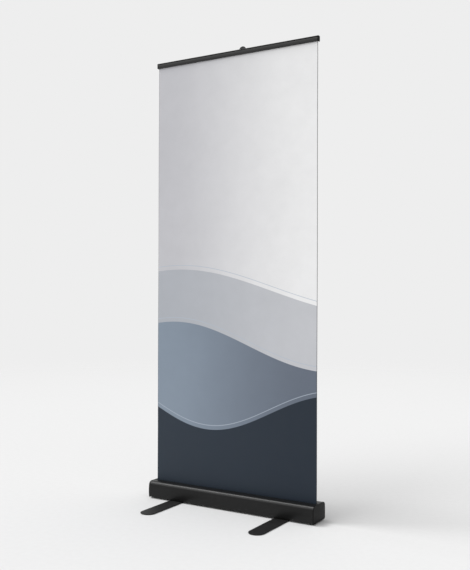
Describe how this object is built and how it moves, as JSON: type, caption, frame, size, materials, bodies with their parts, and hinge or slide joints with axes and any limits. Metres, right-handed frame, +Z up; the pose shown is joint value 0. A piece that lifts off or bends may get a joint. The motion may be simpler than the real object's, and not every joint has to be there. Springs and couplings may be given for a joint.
{
  "type": "roll-up banner stand",
  "caption": "Retractable banner stand: spring-roller cassette on swivel feet, telescopic rear pole and clamp rail holding up a printed film.",
  "frame": {"origin": "middle of the footprint on the floor, under the feet", "axes": "+Z up, front of the banner faces -Y, +X to the viewer's right"},
  "size_m": [0.875, 0.4306, 2.1225],
  "materials": {
    "satin_black_aluminium": "satin black anodised, fine extrusion lines along its length",
    "anthracite_aluminium": "satin anthracite anodised",
    "black_powder_coat": "black powder coat with a fine texture",
    "black_plastic": "moulded black plastic with a fine grain",
    "black_rubber": "matt black rubber",
    "black_pile": "short black brush pile",
    "plain_aluminium": "drawn aluminium tube, satin",
    "zinc_plated_steel": "zinc plated",
    "spring_steel": "oiled spring steel wire",
    "white_nylon": "natural nylon",
    "printed_film": "matt printed film, grey and slate-blue abstract shapes",
    "grey_film_back": "matt grey blockout back of the film"
  },
  "bodies": {
    "base": {"cassette_shell": "satin_black_aluminium", "end_cap_left": "black_plastic", "end_cap_right": "black_plastic", "cap_screw_left_upper": "black_powder_coat", "cap_screw_left_lower": "black_powder_coat", "cap_screw_right_upper": "black_powder_coat", "cap_screw_right_lower": "black_powder_coat", "slot_seal_front": "black_pile", "slot_seal_rear": "black_pile", "pole_socket": "black_plastic", "socket_screw_left": "zinc_plated_steel", "socket_screw_right": "zinc_plated_steel", "foot_bolt_left": "zinc_plated_steel", "foot_nut_left": "zinc_plated_steel", "foot_washer_left": "white_nylon", "foot_bolt_right": "zinc_plated_steel", "foot_nut_right": "zinc_plated_steel", "foot_washer_right": "white_nylon", "spring_arbor": "zinc_plated_steel", "torsion_spring": "spring_steel", "idle_axle": "zinc_plated_steel"},
    "roller": {"roller_tube": "plain_aluminium", "roller_plug_left": "black_plastic", "roller_plug_right": "black_plastic", "spring_anchor": "black_plastic", "banner_roll": "grey_film_back"},
    "foot_left": {"foot_bar_left": "black_powder_coat", "foot_pad_left_front": "black_rubber", "foot_pad_left_rear": "black_rubber"},
    "foot_right": {"foot_bar_right": "black_powder_coat", "foot_pad_right_front": "black_rubber", "foot_pad_right_rear": "black_rubber"},
    "pole_lower": {"pole_lower_tube": "plain_aluminium", "pole_lower_plug": "black_plastic", "collet_lower": "black_plastic"},
    "collar_lower": {"collar_lower": "black_plastic"},
    "pole_middle": {"pole_middle_tube": "plain_aluminium", "pole_middle_plug": "black_plastic", "collet_upper": "black_plastic"},
    "collar_upper": {"collar_upper": "black_plastic"},
    "pole_upper": {"pole_upper_tube": "plain_aluminium", "pole_upper_plug": "black_plastic", "pole_head": "black_plastic"},
    "rail": {"rail_body": "anthracite_aluminium", "rail_gripper": "black_rubber", "rail_cap_left": "black_plastic", "rail_cap_right": "black_plastic", "banner_film": "printed_film"},
    "rail_jaw": {"rail_jaw": "anthracite_aluminium", "jaw_gripper": "black_rubber"}
  },
  "joints": [
    {"name": "foot_left_swivel", "type": "hinge", "parent": "base", "child": "foot_left", "pos_m": [-0.28, 0.06275, 0.004], "axis": [0, 0, 1], "range_deg": [0, 90]},
    {"name": "foot_right_swivel", "type": "hinge", "parent": "base", "child": "foot_right", "pos_m": [0.28, 0.06275, 0.004], "axis": [0, 0, 1], "range_deg": [-90, 0]},
    {"name": "pole_lift", "type": "slide", "parent": "base", "child": "pole_lower", "axis": [0, 0, 1], "range_m": [0, 0.034]},
    {"name": "pole_middle_slide", "type": "slide", "parent": "pole_lower", "child": "pole_middle", "axis": [0, 0, 1], "range_m": [-0.62, 0], "deforming": ["banner_film"]},
    {"name": "pole_upper_slide", "type": "slide", "parent": "pole_middle", "child": "pole_upper", "axis": [0, 0, 1], "range_m": [-0.62, 0]},
    {"name": "collar_lower_twist", "type": "hinge", "parent": "pole_lower", "child": "collar_lower", "pos_m": [0.04, 0.10975, 0.7399], "axis": [0, 0, 1], "range_deg": [0, 90]},
    {"name": "collar_upper_twist", "type": "hinge", "parent": "pole_middle", "child": "collar_upper", "pos_m": [0.04, 0.10975, 1.4083], "axis": [0, 0, 1], "range_deg": [0, 90]},
    {"name": "rail_unhook", "type": "slide", "parent": "pole_upper", "child": "rail", "axis": [0, 0, 1], "range_m": [0, 0.01]},
    {"name": "rail_jaw_open", "type": "hinge", "parent": "rail", "child": "rail_jaw", "pos_m": [0, 0.07965, 2.0991], "axis": [1, 0, 0], "range_deg": [-80, 0]},
    {"name": "roller_spin", "type": "hinge", "parent": "base", "child": "roller", "pos_m": [0, 0.06595, 0.0404], "axis": [1, 0, 0], "range_deg": [-4120, 0]}
  ],
  "couplings": [
    {"joint": "pole_upper_slide", "follows": "pole_middle_slide", "ratio": 1},
    {"joint": "roller_spin", "follows": "pole_middle_slide", "rad_per_m": 115.61}
  ]
}
